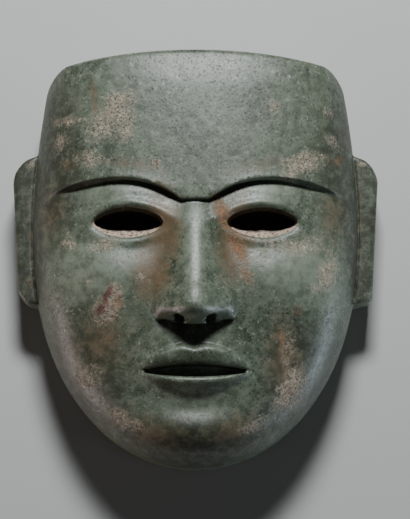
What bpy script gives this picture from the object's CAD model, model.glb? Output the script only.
"""A carved greenstone face mask with plain ear tabs, lying on its back on a pale floor.

The face is a calm and regular one of the maker's own, laid out in thirds and fifths of the head.
Metres: +Z out of the face, +Y to the forehead, +X to the viewer's right.
"""
import math

import bpy
import numpy as np
from mathutils import Matrix, Vector


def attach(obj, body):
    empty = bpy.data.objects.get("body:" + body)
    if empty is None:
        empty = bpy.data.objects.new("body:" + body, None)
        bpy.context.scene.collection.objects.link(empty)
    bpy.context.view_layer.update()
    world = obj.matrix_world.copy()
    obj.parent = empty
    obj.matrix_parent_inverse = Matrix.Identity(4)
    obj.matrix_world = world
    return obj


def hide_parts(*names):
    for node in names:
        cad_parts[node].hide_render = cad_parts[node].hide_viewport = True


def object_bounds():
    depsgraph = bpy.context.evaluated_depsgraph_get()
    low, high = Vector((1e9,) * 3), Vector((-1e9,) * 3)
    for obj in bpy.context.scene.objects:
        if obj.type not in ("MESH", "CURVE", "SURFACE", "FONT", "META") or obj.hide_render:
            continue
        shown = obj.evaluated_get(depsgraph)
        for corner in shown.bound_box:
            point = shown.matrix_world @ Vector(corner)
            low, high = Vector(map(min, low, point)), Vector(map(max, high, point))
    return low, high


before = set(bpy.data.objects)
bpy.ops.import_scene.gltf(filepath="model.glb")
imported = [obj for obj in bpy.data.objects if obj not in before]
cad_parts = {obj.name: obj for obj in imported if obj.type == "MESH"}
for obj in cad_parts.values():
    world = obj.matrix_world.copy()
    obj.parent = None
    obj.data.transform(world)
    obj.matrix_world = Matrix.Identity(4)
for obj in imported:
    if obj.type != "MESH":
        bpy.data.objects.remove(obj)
solid_low, solid_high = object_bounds()


# The mask: one block of dense greenstone, flat-cut on top, domed in front and hollowed behind,
# with both ear tabs in one with its sides. It was pecked to shape, drilled at the eyes and the
# mouth, ground down, and polished in front only, so the hollows and the back stay rough.
HEIGHT = 0.214
HALF = HEIGHT / 2
THIRD = HEIGHT / 3
BROW_Y = HALF - THIRD
NOSE_BASE_Y = BROW_Y - THIRD
MOUTH_Y = NOSE_BASE_Y - THIRD / 3
HEAD_HEIGHT = 3.45 * THIRD
EYE_Y = HEAD_HEIGHT / 2 - HALF
FACE_HALF = 0.35 * HEAD_HEIGHT
EYE_X = 2 * FACE_HALF / 5


def ramp(t):
    """Smooth step from 0 to 1."""
    t = np.clip(t, 0.0, 1.0)
    return t * t * (3.0 - 2.0 * t)


def soft_max(a, b, reach):
    h = np.clip(0.5 + 0.5 * (a - b) / reach, 0.0, 1.0)
    return b + (a - b) * h + reach * h * (1.0 - h)


def soft_min(a, b, reach):
    return -soft_max(-a, -b, reach)


def round_min(a, b, radius):
    """Where two depths meet at an edge, the edge is rounded to a radius and neither face moves."""
    short = np.hypot(np.maximum(radius - a, 0), np.maximum(radius - b, 0))
    return radius - short + np.maximum(np.minimum(a, b) - radius, 0)


def hill(across, y, cx, cy, rx, ry):
    return np.exp(-((across - cx) / rx) ** 2 - ((y - cy) / ry) ** 2)


# Its outline: temples and jaw, and the arched top
WIDEST_Y = 0.020
TOP_TAPER = 0.115
JAW_POWER = 2.3
TOP_ARCH = 0.0110
CORNER_RADIUS = 0.012


def side_depth(x, y):
    up = np.clip((y - WIDEST_Y) / (HALF - WIDEST_Y), 0.0, 1.3)
    width = FACE_HALF * (1.0 - TOP_TAPER * up ** 1.6)
    reach = HALF + WIDEST_Y
    down = np.clip((WIDEST_Y - y) / reach, 0.0, None)
    across = np.abs(x) / width
    rho = np.sqrt(across ** 2 + down ** JAW_POWER + 1e-12)
    slope = np.hypot(across / (width * rho), 0.5 * JAW_POWER * down ** (JAW_POWER - 1) / (rho * reach))
    return np.where(y >= WIDEST_Y, width - np.abs(x), (1.0 - rho) / (slope + 1e-6))


def top_depth(x, y):
    return HALF - TOP_ARCH * (x / FACE_HALF) ** 2 - y


# Its carved lines: the brow under the raised forehead, the foot of the nose, the lips
BROW_INNER = (0.0070, 0.0272)
BROW_PEAK = (0.040, BROW_Y + 0.0028)
BROW_OUTER = (0.080, 0.0290)
PANEL_RISE = 0.0030
BROW_RECESS, BROW_RECESS_REACH = 0.0030, 0.0065
BROW_SOFT = 0.0013
BROW_SOFT_FROM, BROW_SOFT_REACH = 0.046, 0.030   # from here out the edge grows softer
BROW_FADE_FROM, BROW_FADE_REACH = 0.056, 0.024   # and the raised forehead lower


def brow_line(across):
    inner = (BROW_PEAK[0] - across) / (BROW_PEAK[0] - BROW_INNER[0])
    outer = (across - BROW_PEAK[0]) / (BROW_OUTER[0] - BROW_PEAK[0])
    return np.where(across < BROW_PEAK[0],
                    BROW_PEAK[1] - (BROW_PEAK[1] - BROW_INNER[1]) * np.clip(inner, 0, 1) ** 2.1,
                    BROW_PEAK[1] - (BROW_PEAK[1] - BROW_OUTER[1]) * outer ** 2)


BRIDGE_Y, TIP_Y = 0.0290, -0.0275
NOSE_RISE = (0.0056, 0.0234)
NOSE_SPREAD = (0.0118, 0.0160)
TIP_BALL = (0.0, -0.0258, 0.0128, 0.0135, 0.0212)
WING_BALL = (0.0124, -0.0262, 0.0090, 0.0110, 0.0130)
NOSTRIL_AT = (0.0074, -0.0342, 0.0758)
NOSTRIL_SIZE = (0.0038, 0.0040, 0.0062)
NOSTRIL_ARRIS = 0.0012
WING_END, WING_FADE = 0.0225, 0.0050           # where the cut under the nose runs out
WING_BLEND, TIP_BLEND = 0.009, 0.006
BLEND_LIFT = soft_max(soft_max(0.0, 0.0, WING_BLEND), 0.0, TIP_BLEND)


def ball(across, y, place):
    cx, cy, rx, ry, height = place
    return height * np.sqrt(np.clip(1 - ((across - cx) / rx) ** 2 - ((y - cy) / ry) ** 2, 0, None))


def nose_foot(across):
    return NOSE_BASE_Y - 0.0008 * np.exp(-(across / 0.006) ** 2) \
        + 0.0016 * np.exp(-((across - 0.016) / 0.006) ** 2)


def nose_rise(across, y):
    along = np.clip(soft_min((BRIDGE_Y - y) / (BRIDGE_Y - TIP_Y), 1.0, 0.16), 0, 1)
    rise = NOSE_RISE[0] + (NOSE_RISE[1] - NOSE_RISE[0]) * along ** 1.1
    spread = NOSE_SPREAD[0] + (NOSE_SPREAD[1] - NOSE_SPREAD[0]) * along ** 1.3
    ridge = rise * np.exp(-(across / spread) ** 2.3)
    joined = soft_max(ridge, ball(across, y, WING_BALL), WING_BLEND)
    joined = soft_max(joined, ball(across, y, TIP_BALL), TIP_BLEND)
    under = np.clip((TIP_Y - y) / (TIP_Y - nose_foot(across)), 0, 1)
    cut_under = np.sqrt(np.clip(1 - under ** 2.4, 0, 1))
    wing = ramp((WING_END - across) / WING_FADE)
    beside = ramp(1 - (TIP_Y - y) / 0.018)
    return np.maximum(joined - BLEND_LIFT, 0) * (cut_under * wing + beside * (1 - wing))


MOUTH_HALF = 0.0285
GAP_HALF = 0.0030
UPPER_LIP, LOWER_LIP = 0.0122, 0.0135
LIP_RISE, LIP_SOFT = (0.0029, 0.0046), 0.0038
MOUTH_FLOOR_Z = 0.0595
LIP_ARRIS = 0.0010


def mouth_gap(across):
    bow = np.clip(1 - (across / MOUTH_HALF) ** 2, 0, 1)
    return MOUTH_Y + GAP_HALF * bow, MOUTH_Y - GAP_HALF * bow ** 0.8


def lip_rise(across, y):
    bow = np.clip(1 - (across / MOUTH_HALF) ** 2, 0, 1)
    gap_top, gap_bottom = mouth_gap(across)
    upper_edge = MOUTH_Y + UPPER_LIP * bow ** 0.75 - 0.0014 * np.exp(-(across / 0.0045) ** 2)
    lower_edge = MOUTH_Y - LOWER_LIP * bow ** 0.8
    fall = np.clip((upper_edge - y) / np.maximum(upper_edge - gap_top, 1e-5), 0, 1)
    edge = np.clip((upper_edge - y) / LIP_SOFT + 0.5, 0, 1)
    upper = LIP_RISE[0] * (1 - (1 - edge) ** 2) * (1 - fall ** 2.4)
    upper = upper * ramp((y - MOUTH_Y) / 0.0006 + 0.5)
    swell = np.clip((y - lower_edge) / np.maximum(gap_bottom - lower_edge, 1e-5), 0, 1)
    rolled_in = np.sqrt(1 - np.clip(2 * swell - 1, 0, 1) ** 2.4)
    lower = LIP_RISE[1] * ramp(1.2 * swell) * rolled_in * (y < gap_bottom)
    return (upper + lower) * bow ** 0.8


EYE_OPENING = (0.0180, 0.0078)
EYE_POWER = 1.75
EYE_FLOOR_Z = 0.0530
EYE_LEAN_Z = 0.0665                             # under this the walls lean in
EYE_FLOOR_EDGE, EYE_ARRIS = 0.0030, 0.0008
LID_RISE = 0.0024


def eye_radius(across, y):
    return ((np.abs(across - EYE_X) / EYE_OPENING[0]) ** EYE_POWER
            + (np.abs(y - EYE_Y) / EYE_OPENING[1]) ** EYE_POWER + 1e-9) ** (1 / EYE_POWER)


# Its front, before the sides are rolled over: broad forms first, then the lines above
MID_Z = 0.069
LONG_DROP, LONG_REACH = 0.0055, 0.087
TOP_FALL, TOP_FALL_REACH = 0.0022, 0.022
SIDE_DROP = 0.021
BROAD_FORMS = (                                 # centre x, y, reach in x, y, and height
    (0.036, 0.014, 0.022, 0.016, -0.0034),      # orbit
    (0.037, 0.0305, 0.022, 0.0085, 0.0030),     # upper lid
    (0.046, -0.012, 0.025, 0.023, 0.0046),      # cheek bone
    (0.046, -0.050, 0.018, 0.022, -0.0024),     # hollow of the cheek
    (0.0, -0.053, 0.034, 0.025, 0.0056),        # muzzle
    (0.0, -0.0770, 0.023, 0.0085, -0.0030),     # under the lower lip
    (0.0, -0.092, 0.028, 0.0165, 0.0048),       # chin
    (0.0, -0.0435, 0.0035, 0.006, -0.0012),     # groove over the upper lip
)


def front_height(x, y):
    across = np.abs(x)
    z = MID_Z - LONG_DROP * ((y - WIDEST_Y) / LONG_REACH) ** 2 - SIDE_DROP * (across / FACE_HALF) ** 2.5
    z = z - TOP_FALL * np.clip(1 - (HALF - y) / TOP_FALL_REACH, 0, 1.2) ** 2
    for cx, cy, rx, ry, height in BROAD_FORMS:
        z = z + height * hill(across, y, cx, cy, rx, ry)
    above = y - brow_line(across)
    soft = BROW_SOFT * (1 + 1.3 * ramp((across - BROW_SOFT_FROM) / BROW_SOFT_REACH))
    panel = ramp(above / soft + 0.5)
    fade = 1 - 0.95 * ramp((across - BROW_FADE_FROM) / BROW_FADE_REACH)
    z = z + PANEL_RISE * panel * fade
    z = z - BROW_RECESS * np.exp(np.minimum(above, 0) / BROW_RECESS_REACH) * (1 - panel) * fade
    z = z + nose_rise(across, y) * (1 - panel) + lip_rise(across, y)
    lid = np.exp(-((eye_radius(across, y) - 1.22) / 0.36) ** 2)
    return z + LID_RISE * lid * (0.55 + 0.45 * ramp((y - EYE_Y) / 0.006 + 0.5))


# The solid as one depth: positive in the stone, nothing at its skin, negative outside
ROLL_DROP = 0.027
ROLL_TEMPLE, ROLL_CHIN = 0.019, 0.025
ROLL_POWER = 2.5
TOP_ARRIS = 0.0026
RIM_ARRIS = 0.0012
HOLLOW_HALF = (0.0620, 0.0885)
HOLLOW_Y = -0.001
HOLLOW_POWER = 2.3
HOLLOW_DEPTH = 0.045
HOLLOW_EDGE = 0.0030
TAB_TOP_Y, TAB_BOTTOM_Y = 0.0562, -0.0212
TAB_OUTER_TOP, TAB_OUTER_BOTTOM = 0.0968, 0.0924
TAB_TOP_SLOPE, TAB_BOTTOM_SLOPE = 0.0040, 0.0026
TAB_TOP_CORNER = 0.0094
TAB_LEFT_CORNER, TAB_RIGHT_CORNER = 0.0062, 0.0016
TAB_BACK_Z, TAB_FRONT_Z, TAB_FALL = 0.0060, 0.0310, 0.0018
TAB_ROOT = 0.0170
TAB_EDGE = 0.0022
TAB_GROOVE = 0.0009
TAB_JOINT = 0.0004


def hollow_oval(across, y):
    """Distance from the middle of the hollow back, 1 at its border on the rim."""
    return ((across / HOLLOW_HALF[0]) ** HOLLOW_POWER
            + (np.abs(y - HOLLOW_Y) / HOLLOW_HALF[1]) ** HOLLOW_POWER) ** (1 / HOLLOW_POWER)


def tab_depth(x, y, z):
    """An ear tab as a slab, tapered to its lower end, where the right one keeps a sharp corner."""
    across = np.abs(x)
    share = (y - TAB_BOTTOM_Y) / (TAB_TOP_Y - TAB_BOTTOM_Y)
    outer = TAB_OUTER_BOTTOM + (TAB_OUTER_TOP - TAB_OUTER_BOTTOM) * np.clip(share, 0, 1) - across
    out = np.clip((across - FACE_HALF) / (TAB_OUTER_TOP - FACE_HALF), -1, 1)
    upper = (TAB_TOP_Y - TAB_TOP_SLOPE * out - y) * 0.93
    lower = (y - TAB_BOTTOM_Y - TAB_BOTTOM_SLOPE * out) * 0.96
    low_corner = np.where(x < 0, TAB_LEFT_CORNER, TAB_RIGHT_CORNER)
    plan = np.minimum(round_min(outer, upper, TAB_TOP_CORNER), round_min(outer, lower, low_corner))
    plan = np.minimum(plan, across - (FACE_HALF - TAB_ROOT))
    front = TAB_FRONT_Z - TAB_FALL * np.clip(out, 0, 1) - z
    return np.minimum(round_min(plan, front, TAB_EDGE), round_min(plan, z - TAB_BACK_Z, TAB_EDGE))


def stone_depth(x, y, z):
    across = np.abs(x)
    small = 0.00012
    front = front_height(x, y)
    tilt = np.hypot(front_height(x + small, y) - front, front_height(x, y + small) - front) / small
    front = (front - z) / np.sqrt(1 + np.minimum(tilt, 6.0) ** 2)
    side, top = side_depth(x, y), top_depth(x, y)
    # the sides rolled over to an upright wall, a little squarer than a quarter of an oval
    roll = ROLL_TEMPLE + (ROLL_CHIN - ROLL_TEMPLE) * ramp((WIDEST_Y - y) / 0.10)
    in_side, in_front = np.maximum(1 - side / roll, 0), np.maximum(1 - front / ROLL_DROP, 0)
    rho = np.maximum(in_side ** ROLL_POWER + in_front ** ROLL_POWER, 1e-6) ** (1 / ROLL_POWER)
    growth = np.hypot(in_side ** (ROLL_POWER - 1) / roll, in_front ** (ROLL_POWER - 1) / ROLL_DROP)
    depth = (1 - rho) * np.maximum(rho, 0.05) ** (ROLL_POWER - 1) / (growth + 1e-3)
    depth = np.minimum(depth, 0.02)
    # the flat top, its corners, and the rim that the mask lies on
    plan = round_min(side, top, CORNER_RADIUS)
    depth = np.minimum(depth, round_min(front, top, TOP_ARRIS))
    depth = np.minimum(depth, round_min(z, plan, RIM_ARRIS))
    past_ends = np.maximum(y - TAB_TOP_Y, 0) + np.maximum(TAB_BOTTOM_Y - y, 0)
    groove = np.hypot(np.hypot(depth, z - TAB_FRONT_Z), past_ends) - TAB_GROOVE
    depth = soft_max(depth, tab_depth(x, y, z), TAB_JOINT)
    depth = soft_min(depth, groove, TAB_JOINT)
    # the hollow back
    oval = hollow_oval(across, y)
    rise = np.clip(z / HOLLOW_DEPTH, 0, None)
    reach = np.sqrt(oval ** 2 + rise ** 2.353 + 1e-9)
    slope = np.hypot(oval / 0.068, 1.18 * rise ** 1.353 / HOLLOW_DEPTH) / reach
    depth = soft_min(depth, (reach - 1) / (slope + 1.0), HOLLOW_EDGE)
    # the eye hollows, blind, with sides that lean in towards the floor
    eye = eye_radius(across, y)
    eye_slope = np.hypot((across - EYE_X) / EYE_OPENING[0] ** 2, (y - EYE_Y) / EYE_OPENING[1] ** 2)
    in_eye = (1 - eye) * np.maximum(eye, 0.3) / (eye_slope + 12.0)
    lean = 0.08 + 0.55 * ramp((EYE_Y - y) / 0.007 + 0.35)
    in_eye = in_eye - lean * np.clip(EYE_LEAN_Z - z, 0, 0.02)
    cut = soft_min(in_eye, z - EYE_FLOOR_Z, EYE_FLOOR_EDGE)
    depth = soft_min(depth, -cut, EYE_ARRIS)
    # the slot between the lips, and the nostrils
    gap_top, gap_bottom = mouth_gap(across)
    in_gap = np.minimum(np.minimum(gap_top - y, y - gap_bottom), (MOUTH_HALF - 0.0030 - across) * 0.5)
    slot_floor = MOUTH_FLOOR_Z + 0.0035 * ramp((across - 0.016) / 0.011)
    depth = soft_min(depth, -np.minimum(in_gap, z - slot_floor), LIP_ARRIS)
    gone = [(value - at) / size for value, at, size in zip((across, y, z), NOSTRIL_AT, NOSTRIL_SIZE)]
    nostril = np.sqrt(gone[0] ** 2 + gone[1] ** 2 + gone[2] ** 2)
    return soft_min(depth, (nostril - 1) * 0.0043, NOSTRIL_ARRIS)


def stations(start, *stretches):
    """Sample places along an axis, one stretch after another: where each ends, and its step."""
    places = [np.array([start])]
    for end, step in stretches:
        places.append(np.linspace(start, end, max(1, round((end - start) / step)) + 1)[1:])
        start = end
    return np.concatenate(places)


def skin(depth, places):
    """Quads over the surface where the depth is nothing, one corner to each sample box it crosses."""
    boxes = np.array(depth.shape) - 1
    total = np.zeros((int(np.prod(boxes)), 3))
    hits = np.zeros(len(total))
    quads = []
    for axis in range(3):
        low, high = [slice(None)] * 3, [slice(None)] * 3
        low[axis], high[axis] = slice(0, -1), slice(1, None)
        first, second = depth[tuple(low)], depth[tuple(high)]
        at = np.argwhere((first > 0) != (second > 0))
        a, b = first[tuple(at.T)], second[tuple(at.T)]
        points = np.stack([places[k][at[:, k]] for k in range(3)], axis=1)
        points[:, axis] += a / (a - b) * (places[axis][at[:, axis] + 1] - places[axis][at[:, axis]])
        u, v = (axis + 1) % 3, (axis + 2) % 3
        around = []
        for back_u, back_v in ((0, 0), (1, 0), (1, 1), (0, 1)):
            box = at.copy()
            box[:, u] -= back_u
            box[:, v] -= back_v
            index = np.ravel_multi_index(box.T, boxes)
            around.append(index)
            hits += np.bincount(index, minlength=len(hits))
            for k in range(3):
                total[:, k] += np.bincount(index, weights=points[:, k], minlength=len(hits))
        around = np.stack(around, axis=1)
        quads.append(np.where((a > 0)[:, None], around, around[:, ::-1]))
    used = np.flatnonzero(hits)
    number = np.full(len(hits), -1)
    number[used] = np.arange(len(used))
    return total[used] / hits[used, None], number[np.concatenate(quads)]


def steepest(points):
    """The depth at each point and how it grows along x, y and z."""
    step = 0.0002
    grow = np.empty_like(points)
    for axis in range(3):
        ahead, behind = points.copy(), points.copy()
        ahead[:, axis] += step
        behind[:, axis] -= step
        grow[:, axis] = (stone_depth(*ahead.T) - stone_depth(*behind.T)) / (2 * step)
    return stone_depth(*points.T), grow


def passed_round(values, ends, rounds):
    """Each corner's value averaged with its neighbours' values, a few times over."""
    a, b = ends.T
    count = len(values)
    near = np.bincount(a, minlength=count) + np.bincount(b, minlength=count)
    for _ in range(rounds):
        total = np.bincount(a, values[b], count) + np.bincount(b, values[a], count)
        values = 0.5 * values + 0.5 * total / near
    return values


def unevenness(points, size, seed):
    """Smooth chance heights from -1 to 1, with bumps of about one size."""
    lattice = np.random.default_rng(seed).random((32, 32, 32)) * 2 - 1
    base = np.floor(points / size).astype(int)
    part = points / size - base
    part = part * part * (3 - 2 * part)
    total = np.zeros(len(points))
    for corner in np.ndindex(2, 2, 2):
        weight = np.prod(np.where(corner, part, 1 - part), axis=1)
        total += weight * lattice[tuple(((base + corner) % 32).T)]
    return total


def numbers(items, name, width, kind=np.float64):
    values = np.empty(len(items) * width, dtype=kind)
    items.foreach_get(name, values)
    return values.reshape(-1, width) if width > 1 else values


def fold_of(points, normals, ends):
    """How the skin folds at each corner, in turns per metre: above 0 in a valley, below on a ridge."""
    a, b = ends.T
    span = points[b] - points[a]
    turn, square = np.sum((normals[b] - normals[a]) * span, axis=1), np.sum(span ** 2, axis=1)
    turns = np.bincount(a, turn, len(points)) + np.bincount(b, turn, len(points))
    squares = np.bincount(a, square, len(points)) + np.bincount(b, square, len(points))
    return -turns / (squares + 1e-12)


# Where the ground has marked it: middle, half length and width, lean in radians, and strength
CRUST_SPOTS = (                                     # pale pinkish grains
    (-0.0400, 0.0740, 0.0150, 0.0110, 1.2, 1.0),    # forehead, left
    (-0.0470, 0.0660, 0.0150, 0.0090, 0.2, 0.8),
    (-0.0350, 0.0640, 0.0110, 0.0070, 0.9, 0.7),
    (-0.0666, 0.0700, 0.0100, 0.0040, -0.2, 0.7),
    (-0.0690, 0.0600, 0.0120, 0.0060, 0.8, 0.5),
    (-0.0540, 0.0490, 0.0140, 0.0060, -0.2, 0.7),   # left lid
    (-0.0196, 0.0450, 0.0050, 0.0030, -0.6, 0.7),
    (0.0560, 0.0480, 0.0140, 0.0070, 0.2, 0.9),     # right lid
    (0.0500, 0.0430, 0.0110, 0.0060, 0.9, 0.8),
    (0.0700, 0.0600, 0.0080, 0.0040, -0.3, 0.7),
    (0.0413, 0.0751, 0.0080, 0.0070, 0.0, 0.4),     # forehead, right
    (0.0690, 0.0740, 0.0060, 0.0060, 0.0, 0.4),
    (-0.0470, 0.0040, 0.0120, 0.0060, 0.2, 0.6),    # under the left eye
    (-0.0660, 0.0060, 0.0080, 0.0070, 0.0, 0.5),
    (0.0480, 0.0040, 0.0300, 0.0070, 0.05, 0.6),    # under the right eye
    (0.0670, -0.0100, 0.0150, 0.0080, 1.1, 0.7),    # right cheek
    (-0.0276, -0.0127, 0.0032, 0.0036, 0.0, 0.9),
    (-0.0528, -0.0140, 0.0030, 0.0030, 0.0, 0.8),
    (-0.0440, -0.0270, 0.0130, 0.0090, 0.8, 0.95),  # round the wine red streak
    (-0.0400, -0.0200, 0.0060, 0.0070, 0.0, 0.8),
    (-0.0552, -0.0618, 0.0100, 0.0090, 0.0, 0.5),
    (-0.0360, -0.0840, 0.0160, 0.0060, -0.5, 0.6),
    (0.0490, -0.0680, 0.0200, 0.0100, 1.3, 0.85),   # right jaw
    (0.0300, -0.0860, 0.0110, 0.0060, 0.6, 0.5),
    (0.0482, -0.0460, 0.0130, 0.0060, 1.5, 0.6),
    (-0.0866, 0.0526, 0.0030, 0.0022, 0.3, 0.8),    # top of the ear tabs
    (0.0882, 0.0526, 0.0034, 0.0022, -0.3, 0.9),
)
RUST_SPOTS = (                                      # orange brown
    (0.0145, 0.0200, 0.0150, 0.0062, -1.15, 1.0),   # right side of the nose
    (0.0215, 0.0040, 0.0150, 0.0056, -1.15, 1.0),
    (0.0265, -0.0120, 0.0110, 0.0046, -1.2, 0.6),
    (-0.0390, -0.0250, 0.0050, 0.0046, 0.0, 0.7),
    (-0.0430, -0.0400, 0.0070, 0.0100, 0.0, 0.3),
    (0.0445, -0.0430, 0.0036, 0.0090, 0.1, 0.6),
    (0.0518, -0.0285, 0.0040, 0.0050, 0.0, 0.6),
    (0.0740, 0.0500, 0.0070, 0.0040, 0.2, 0.4),
    (-0.0640, 0.0470, 0.0080, 0.0044, -0.2, 0.35),
    (-0.0460, 0.0740, 0.0030, 0.0090, 0.4, 0.4),
    (-0.0872, -0.0095, 0.0026, 0.0056, 0.1, 0.5),   # beside the grooves of the ear tabs
    (0.0872, 0.0380, 0.0018, 0.0150, 0.0, 0.2),
)
BROWN_SPOTS = (                                     # a thin earth brown wash
    (-0.0165, 0.0150, 0.0130, 0.0300, 0.1, 1.0),
    (0.0210, 0.0080, 0.0140, 0.0320, -0.1, 1.0),
    (-0.0220, -0.0080, 0.0150, 0.0240, 0.0, 0.9),
    (0.0350, 0.0450, 0.0380, 0.0060, 0.25, 0.4),    # over the brows
    (-0.0330, 0.0460, 0.0370, 0.0055, -0.2, 0.4),
    (0.0700, 0.0200, 0.0140, 0.0240, 0.0, 0.35),    # temples
    (-0.0730, 0.0220, 0.0140, 0.0240, 0.0, 0.35),
    (0.0450, -0.0520, 0.0160, 0.0320, 0.1, 0.5),    # low cheeks and chin
    (-0.0480, -0.0430, 0.0220, 0.0280, 0.1, 0.45),
    (-0.0520, 0.0820, 0.0030, 0.0160, 0.1, 0.7),
    (-0.0200, -0.0900, 0.0300, 0.0140, -0.3, 0.45),
    (0.0200, -0.0900, 0.0300, 0.0140, 0.3, 0.45),
    (0.0868, 0.0220, 0.0020, 0.0400, 0.0, 0.35),    # along the grooves
    (-0.0866, 0.0150, 0.0022, 0.0400, 0.0, 0.35),
)
SHADE_SPOTS = (                                     # where the stone is darker and duller
    (-0.0920, 0.0180, 0.0150, 0.0600, 0.0, 1.0),    # ear tabs
    (0.0930, 0.0180, 0.0150, 0.0600, 0.0, 0.6),
    (-0.0890, -0.0190, 0.0110, 0.0080, 0.0, 1.0),   # low end of the left tab
    (-0.0840, 0.0120, 0.0100, 0.0600, 0.0, 1.0),    # where the sides meet the tabs
    (0.0840, 0.0120, 0.0100, 0.0600, 0.0, 0.8),
    (-0.0770, 0.0500, 0.0260, 0.0600, 0.0, 1.0),    # temples
    (0.0780, 0.0480, 0.0220, 0.0560, 0.0, 0.9),
    (-0.0560, -0.0620, 0.0300, 0.0400, 0.4, 0.9),   # low cheeks and chin
    (0.0560, -0.0620, 0.0300, 0.0400, -0.4, 0.9),
    (0.0, -0.0980, 0.0500, 0.0280, 0.0, 0.7),
)
WORN_SPOTS = (                                      # where it is paler, rubbed by hands
    (-0.0520, -0.0080, 0.0300, 0.0240, 0.3, 1.0),   # cheeks
    (0.0540, -0.0090, 0.0300, 0.0240, -0.3, 1.0),
    (-0.0400, 0.0320, 0.0280, 0.0110, 0.0, 0.7),    # lids
    (0.0400, 0.0320, 0.0280, 0.0110, 0.0, 0.7),
    (0.0, 0.0000, 0.0110, 0.0420, 0.0, 0.7),        # nose
    (0.0, -0.0750, 0.0300, 0.0160, 0.0, 0.6),       # chin
)
WINE_SPOTS = (                                      # the dark red streak on the left cheek
    (-0.0450, -0.0220, 0.0070, 0.0018, 1.10, 1.0),
    (-0.0480, -0.0285, 0.0062, 0.0028, 1.00, 1.0),
    (-0.0455, -0.0250, 0.0026, 0.0018, 0.0, 0.8),
    (0.0518, -0.0285, 0.0018, 0.0026, 0.3, 0.6),
    (0.0490, -0.0700, 0.0034, 0.0050, 0.2, 0.5),
)
PALE_SPOTS = (                                      # single pale grains in the stone
    (0.0269, 0.0773, 0.0022, 0.0024, 0.0, 1.0),
    (0.0483, 0.0926, 0.0016, 0.0016, 0.0, 0.9),
    (0.0402, 0.0947, 0.0016, 0.0016, 0.0, 0.9),
    (-0.0020, 0.0890, 0.0026, 0.0016, 0.4, 0.8),
)


def patches(x, y, spots):
    """How deep each point lies in the nearest of some leaning oval patches, from 0 to 1."""
    inside = np.zeros_like(x)
    for cx, cy, half_long, half_wide, lean, strength in spots:
        along = (x - cx) * math.cos(lean) + (y - cy) * math.sin(lean)
        over = (y - cy) * math.cos(lean) - (x - cx) * math.sin(lean)
        share = 1 - np.hypot(along / half_long, over / half_wide)
        inside = np.maximum(inside, strength * np.clip(share, 0, 1))
    return inside


# The skin as the tools and the ground left it: polished waves in front, pecked hollows and back
FRONT_FROM_Z, PECKED_FROM_Z, BEHIND_UNDER_Z = 0.0270, 0.0495, 0.0485
ZONE_BLEND = 0.002
CHIP_DEPTH = 0.00012


def zones(points):
    """Shares of the front, of the pecked eye hollows and of the rough back, at each place."""
    across = np.abs(points[:, 0])
    y, z = points[:, 1], points[:, 2]
    in_front = ramp((z - FRONT_FROM_Z) / ZONE_BLEND)
    pecked = ramp((1.02 - eye_radius(across, y)) / 0.07) * ramp((z - PECKED_FROM_Z) / ZONE_BLEND)
    behind = ramp((BEHIND_UNDER_Z - z) / ZONE_BLEND) * ramp((1.03 - hollow_oval(across, y)) / 0.04)
    return in_front, pecked, np.maximum(behind, ramp((0.004 - z) / 0.004))


def pitted(points, *layers):
    """Chance hollows, one layer over another: mean depth, size and number of each pattern."""
    return sum(depth * (1 + unevenness(points, size, seed)) for depth, size, seed in layers)


def dents(points):
    """How deep the skin is worn, chipped and pecked at each place."""
    in_front, pecked, behind = zones(points)
    crust = patches(points[:, 0], points[:, 1], CRUST_SPOTS) * in_front * (1 - pecked)
    chips = ramp((unevenness(points, 0.0026, 11) - 0.50) / 0.25)
    return (pitted(points, (0.00005, 0.0110, 12), (0.00003, 0.0042, 13))
            + crust * pitted(points, (0.00010, 0.0018, 14))
            + pecked * pitted(points, (0.00030, 0.0026, 15), (0.00022, 0.0012, 16))
            + behind * pitted(points, (0.00035, 0.0050, 17), (0.00020, 0.0019, 18))
            + (1 - in_front) * (1 - behind) * pitted(points, (0.00010, 0.0030, 19))
            + CHIP_DEPTH * chips * (1 - pecked) * (1 - behind))


FINE, COARSE = 0.00078, 0.00125                 # steps of the samples
MOST_TRIANGLES = 192000
RELAXED_TURNS, FITTED_TURNS = 2, 4
RIM_FLATNESS = 0.0003                           # lower corners than this lie in the rim's plane
places = (stations(-0.0990, (-0.0905, COARSE), (0.0905, FINE), (0.0990, COARSE)),
          stations(-0.1090, (-0.0880, COARSE), (0.0530, FINE), (0.1090, COARSE)),
          stations(-0.0024, (0.0285, COARSE), (0.0335, FINE), (0.0500, COARSE), (0.0940, FINE),
                   (0.0960, COARSE)))
depth = stone_depth(places[0][:, None, None], places[1][None, :, None], places[2][None, None, :])
corners, quads = skin(depth, places)
sides = np.concatenate([quads[:, [k, (k + 1) % 4]] for k in range(4)])
for turn_no in range(FITTED_TURNS):
    if turn_no < RELAXED_TURNS:
        corners = np.stack([passed_round(corners[:, k], sides, 1) for k in range(3)], axis=1)
    depth_there, grow = steepest(corners)
    move = depth_there[:, None] * grow / np.maximum(np.sum(grow ** 2, axis=1), 0.05)[:, None]
    corners -= np.clip(move, -FINE / 2, FINE / 2)
depth_there, grow = steepest(corners)
print("mask skin:", len(corners), "corners,", 2 * len(quads), "triangles, worst gap",
      float(np.abs(depth_there).max()))
inward = grow / np.maximum(np.linalg.norm(grow, axis=1), 1e-3)[:, None]
corners += inward * dents(corners)[:, None]

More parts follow.
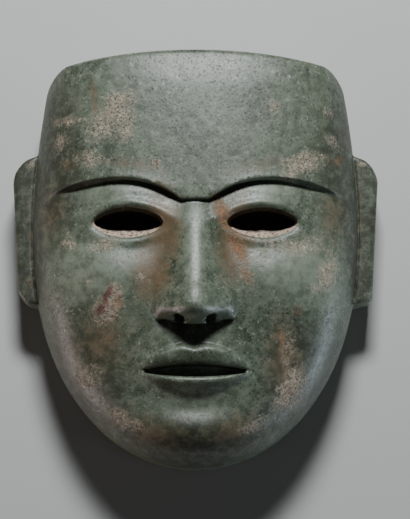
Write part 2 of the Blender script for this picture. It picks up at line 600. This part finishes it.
mesh = bpy.data.meshes.new("mask")
mesh.from_pydata(corners.tolist(), [], quads.tolist())
mesh.validate()
mask = bpy.data.objects.new("carved_mask", mesh)
bpy.context.scene.collection.objects.link(mask)
thin = mask.modifiers.new("thin", "DECIMATE")
thin.ratio = MOST_TRIANGLES / (2 * len(quads))
bpy.context.view_layer.objects.active = mask
bpy.ops.object.modifier_apply(modifier="thin")
mesh = mask.data
mesh.shade_smooth()
points = np.clip(numbers(mesh.vertices, "co", 3), np.array(solid_low) + 1e-5, np.array(solid_high) - 1e-5)
points[points[:, 2] < RIM_FLATNESS, 2] = 0.0
mesh.vertices.foreach_set("co", points.ravel())
mesh.update()
ends = numbers(mesh.edges, "vertices", 2, np.int32)
fold = passed_round(fold_of(points, numbers(mesh.vertices, "normal", 3), ends), ends, 6)


def note(name, values):
    """Keep a value for every corner, for the stone's finish to read."""
    kept = mesh.attributes.new(name, "FLOAT", "POINT")
    kept.data.foreach_set("value", np.ascontiguousarray(values, dtype=np.float32))


in_front, pecked, behind = zones(points)
front_only = in_front * (1 - pecked)
for name, spots in (("crust", CRUST_SPOTS), ("rust", RUST_SPOTS), ("brown", BROWN_SPOTS),
                    ("worn", WORN_SPOTS), ("shade", SHADE_SPOTS), ("wine", WINE_SPOTS),
                    ("pale", PALE_SPOTS)):
    note(name, patches(points[:, 0], points[:, 1], spots) * front_only)
note("pecked", pecked)
note("deep", pecked * ramp((0.0615 - points[:, 2]) / 0.0050))
note("behind", behind)
note("fold", fold)

# Its finish: grey-green stone, clouded and speckled, satin where it is polished
DEEP_GREEN, MID_GREEN, SAGE = (0.040, 0.052, 0.032), (0.078, 0.094, 0.065), (0.150, 0.172, 0.130)
DARK_GRAIN, PALE_GRAIN = (0.008, 0.012, 0.007), (0.26, 0.29, 0.24)
BUFF, BUFF_GRAIN, PALE_BUFF = (0.290, 0.228, 0.165), (0.048, 0.030, 0.020), (0.48, 0.40, 0.32)
RUST, RUST_GRAIN = (0.230, 0.105, 0.040), (0.075, 0.034, 0.014)
EARTH, WINE, WINE_GRAIN = (0.110, 0.070, 0.036), (0.120, 0.036, 0.028), (0.035, 0.009, 0.007)
SOIL, PATINA = (0.018, 0.014, 0.009), (0.020, 0.022, 0.012)
DUSTY, HOLLOW_DARK = (0.090, 0.095, 0.072), (0.010, 0.008, 0.006)
LEDGE = (0.50, 0.38, 0.29)

stone = bpy.data.materials.new("greenstone")
stone.use_nodes = True
tree = stone.node_tree
shader = tree.nodes["Principled BSDF"]
here = tree.nodes.new("ShaderNodeTexCoord").outputs["Object"]


def chance(scale, detail, shift, rough=0.6):
    """A cloudy chance value at each place; the shift makes every pattern its own."""
    made = tree.nodes.new("ShaderNodeTexNoise")
    made.noise_dimensions = "4D"
    for name, number in (("W", shift), ("Scale", scale), ("Detail", detail), ("Roughness", rough)):
        made.inputs[name].default_value = number
    tree.links.new(here, made.inputs["Vector"])
    return made.outputs[0]


def stretched(value, low, high, to_low=0.0, to_high=1.0):
    """A value from low to high, spread smoothly over another range."""
    made = tree.nodes.new("ShaderNodeMapRange")
    made.interpolation_type = "SMOOTHSTEP"
    for name, number in (("From Min", low), ("From Max", high), ("To Min", to_low), ("To Max", to_high)):
        made.inputs[name].default_value = number
    tree.links.new(value, made.inputs["Value"])
    return made.outputs["Result"]


def worked(operation, first, second):
    made = tree.nodes.new("ShaderNodeMath")
    made.operation = operation
    for socket, value in zip(made.inputs, (first, second)):
        if isinstance(value, (int, float)):
            socket.default_value = value
        else:
            tree.links.new(value, socket)
    return made.outputs[0]


def tinted(share, under, over):
    """One colour laid over another by a share."""
    made = tree.nodes.new("ShaderNodeMix")
    made.data_type = "RGBA"
    tree.links.new(share, made.inputs[0])
    for socket, colour in ((made.inputs[6], under), (made.inputs[7], over)):
        if isinstance(colour, tuple):
            socket.default_value = (*colour, 1.0)
        else:
            tree.links.new(colour, socket)
    return made.outputs[2]


def noted(name):
    made = tree.nodes.new("ShaderNodeAttribute")
    made.attribute_name = name
    return made.outputs["Fac"]


def ragged(name, wander, low, high, reach=1.1):
    """A noted patch with its border broken up by a chance pattern."""
    moved = worked("MULTIPLY", worked("SUBTRACT", wander, 0.5), reach)
    there = stretched(noted(name), 0.0, 0.06)
    return worked("MULTIPLY", there, stretched(worked("ADD", noted(name), moved), low, high))


clouds, mottle = chance(42, 4, 1.0), chance(210, 5, 2.0, 0.65)
fine, grit = chance(650, 4, 3.0, 0.75), chance(1700, 2, 4.0)
specks, flecks = chance(800, 3, 5.0, 0.6), chance(620, 2, 6.0, 0.5)
border = chance(130, 4, 7.0, 0.7)
colour = tinted(stretched(clouds, 0.34, 0.64), DEEP_GREEN, MID_GREEN)
colour = tinted(stretched(mottle, 0.38, 0.70, 0.0, 0.68), colour, SAGE)
crowded = stretched(clouds, 0.36, 0.62, 0.95, 0.55)
colour = tinted(worked("MULTIPLY", stretched(specks, 0.53, 0.63), crowded), colour, DARK_GRAIN)
colour = tinted(stretched(flecks, 0.60, 0.70, 0.0, 0.50), colour, PALE_GRAIN)
worn = worked("MULTIPLY", stretched(noted("worn"), 0.0, 0.7), stretched(mottle, 0.34, 0.62, 0.35, 0.85))
colour = tinted(worn, colour, SAGE)
patina = worked("MULTIPLY", stretched(noted("shade"), 0.0, 0.55), stretched(mottle, 0.36, 0.66, 0.85, 0.45))
colour = tinted(patina, colour, PATINA)
earth = ragged("brown", mottle, 0.05, 0.70)
colour = tinted(worked("MULTIPLY", earth, stretched(fine, 0.35, 0.62, 0.55, 1.0)), colour, EARTH)
soil = worked("MULTIPLY", stretched(noted("fold"), 160.0, 600.0), stretched(mottle, 0.35, 0.6, 0.5, 0.9))
colour = tinted(soil, colour, SOIL)
grains = tinted(stretched(fine, 0.36, 0.50), BUFF_GRAIN, BUFF)
grains = tinted(stretched(flecks, 0.54, 0.66, 0.0, 0.85), grains, PALE_BUFF)
grains = tinted(stretched(specks, 0.54, 0.62, 0.0, 0.85), grains, BUFF_GRAIN)
wander = worked("ADD", worked("MULTIPLY", border, 0.7), worked("MULTIPLY", fine, 0.3))
crusted = ragged("crust", wander, 0.05, 0.75, 2.4)
crusted = worked("MULTIPLY", crusted, stretched(fine, 0.36, 0.60, 0.40, 0.90))
colour = tinted(crusted, colour, grains)
rusty = worked("MULTIPLY", ragged("rust", wander, 0.0, 0.95, 1.6), stretched(fine, 0.36, 0.60, 0.45, 1.0))
colour = tinted(rusty, colour, tinted(stretched(fine, 0.40, 0.58), RUST_GRAIN, RUST))
wine = worked("MULTIPLY", ragged("wine", wander, 0.08, 0.55, 2.2), 0.9)
colour = tinted(wine, colour, tinted(stretched(fine, 0.40, 0.60), WINE_GRAIN, WINE))
colour = tinted(ragged("pale", fine, 0.15, 0.60, 0.6), colour, PALE_GRAIN)
duller = tinted(stretched(fine, 0.40, 0.62), MID_GREEN, DUSTY)
colour = tinted(worked("MULTIPLY", noted("behind"), 0.75), colour, duller)
ledge = tinted(stretched(fine, 0.36, 0.56), BUFF_GRAIN, LEDGE)
colour = tinted(noted("pecked"), colour, ledge)
colour = tinted(noted("deep"), colour, HOLLOW_DARK)
tree.links.new(colour, shader.inputs["Base Color"])

polish = worked("ADD", stretched(mottle, 0.35, 0.70, 0.39, 0.46), stretched(specks, 0.50, 0.66, 0.0, 0.14))
unpolished = worked("MAXIMUM", noted("pecked"), noted("behind"))
dull = worked("MAXIMUM", unpolished, worked("MULTIPLY", worked("MAXIMUM", crusted, rusty), 0.45))
unpolish = worked("ADD", worked("MULTIPLY", dull, 0.40), worked("MULTIPLY", patina, 0.08))
rough = worked("ADD", polish, unpolish)
tree.links.new(rough, shader.inputs["Roughness"])
relief = worked("ADD", worked("MULTIPLY", fine, 0.13), worked("MULTIPLY", grit, 0.05))
relief = worked("ADD", relief, worked("MULTIPLY", worked("MULTIPLY", dull, fine), 0.8))
bump = tree.nodes.new("ShaderNodeBump")
bump.inputs["Strength"].default_value = 1.0
bump.inputs["Distance"].default_value = 0.0009
tree.links.new(relief, bump.inputs["Height"])
tree.links.new(bump.outputs["Normal"], shader.inputs["Normal"])
mesh.materials.append(stone)
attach(mask, "root")
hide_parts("mask")


# The floor: a plain pale board, matt, wide enough for every view.
# The mask lies on it on the rim of its hollow back.
bpy.ops.mesh.primitive_plane_add(size=6.0, location=(0.0, 0.0, 0.0))
floor = bpy.context.object
floor.name = "floor"
pale = bpy.data.materials.new("pale_board")
pale.use_nodes = True
pale.node_tree.nodes["Principled BSDF"].inputs["Base Color"].default_value = (0.45, 0.45, 0.44, 1.0)
pale.node_tree.nodes["Principled BSDF"].inputs["Roughness"].default_value = 0.75
floor.data.materials.append(pale)


# The studio light: one soft panel beyond the forehead and high over the face, a warm strip low
# on the left and a cool one low on the right, and a faint even light all round.
def panel_light(name, place, size, power, colour):
    light = bpy.data.lights.new(name, "AREA")
    light.shape = "RECTANGLE"
    light.size, light.size_y = size
    light.energy = power
    light.color = colour
    lamp = bpy.data.objects.new(name, light)
    bpy.context.scene.collection.objects.link(lamp)
    lamp.location = place
    towards = Vector((0.0, 0.0, 0.05)) - Vector(place)
    lamp.rotation_euler = towards.to_track_quat("-Z", "Y").to_euler()


panel_light("key", (0.04, 0.78, 0.90), (0.30, 0.22), 21.5, (0.95, 0.99, 1.0))
panel_light("left_rim", (-0.68, -0.31, 0.02), (0.26, 0.03), 2.6, (1.0, 0.82, 0.78))
panel_light("right_rim", (0.68, -0.31, 0.02), (0.26, 0.03), 3.0, (0.78, 0.90, 1.0))
world = bpy.data.worlds.new("even_light")
world.use_nodes = True
world.node_tree.nodes["Background"].inputs["Color"].default_value = (0.9, 0.92, 0.95, 1.0)
world.node_tree.nodes["Background"].inputs["Strength"].default_value = 0.04
bpy.context.scene.world = world


# The camera looks down on the lying mask a little from the chin's side.
VIEW_TILT = math.radians(8.0)
VIEW_DISTANCE = 1.2
VIEW_HEIGHT = 0.268
VIEW_MIDDLE = Vector((0.005, 0.0, 0.045))
lens = bpy.data.cameras.new("view")
lens.sensor_fit = "VERTICAL"
lens.sensor_height = 24.0
lens.lens = lens.sensor_height * VIEW_DISTANCE / VIEW_HEIGHT
camera = bpy.data.objects.new("view", lens)
bpy.context.scene.collection.objects.link(camera)
backward = Vector((0.0, -math.sin(VIEW_TILT), math.cos(VIEW_TILT)))
rightward = Vector((1.0, 0.0, 0.0))
upward = backward.cross(rightward)
turn = Matrix((rightward, upward, backward)).transposed().to_4x4()
camera.matrix_world = Matrix.Translation(VIEW_MIDDLE + backward * VIEW_DISTANCE) @ turn
bpy.context.scene.camera = camera
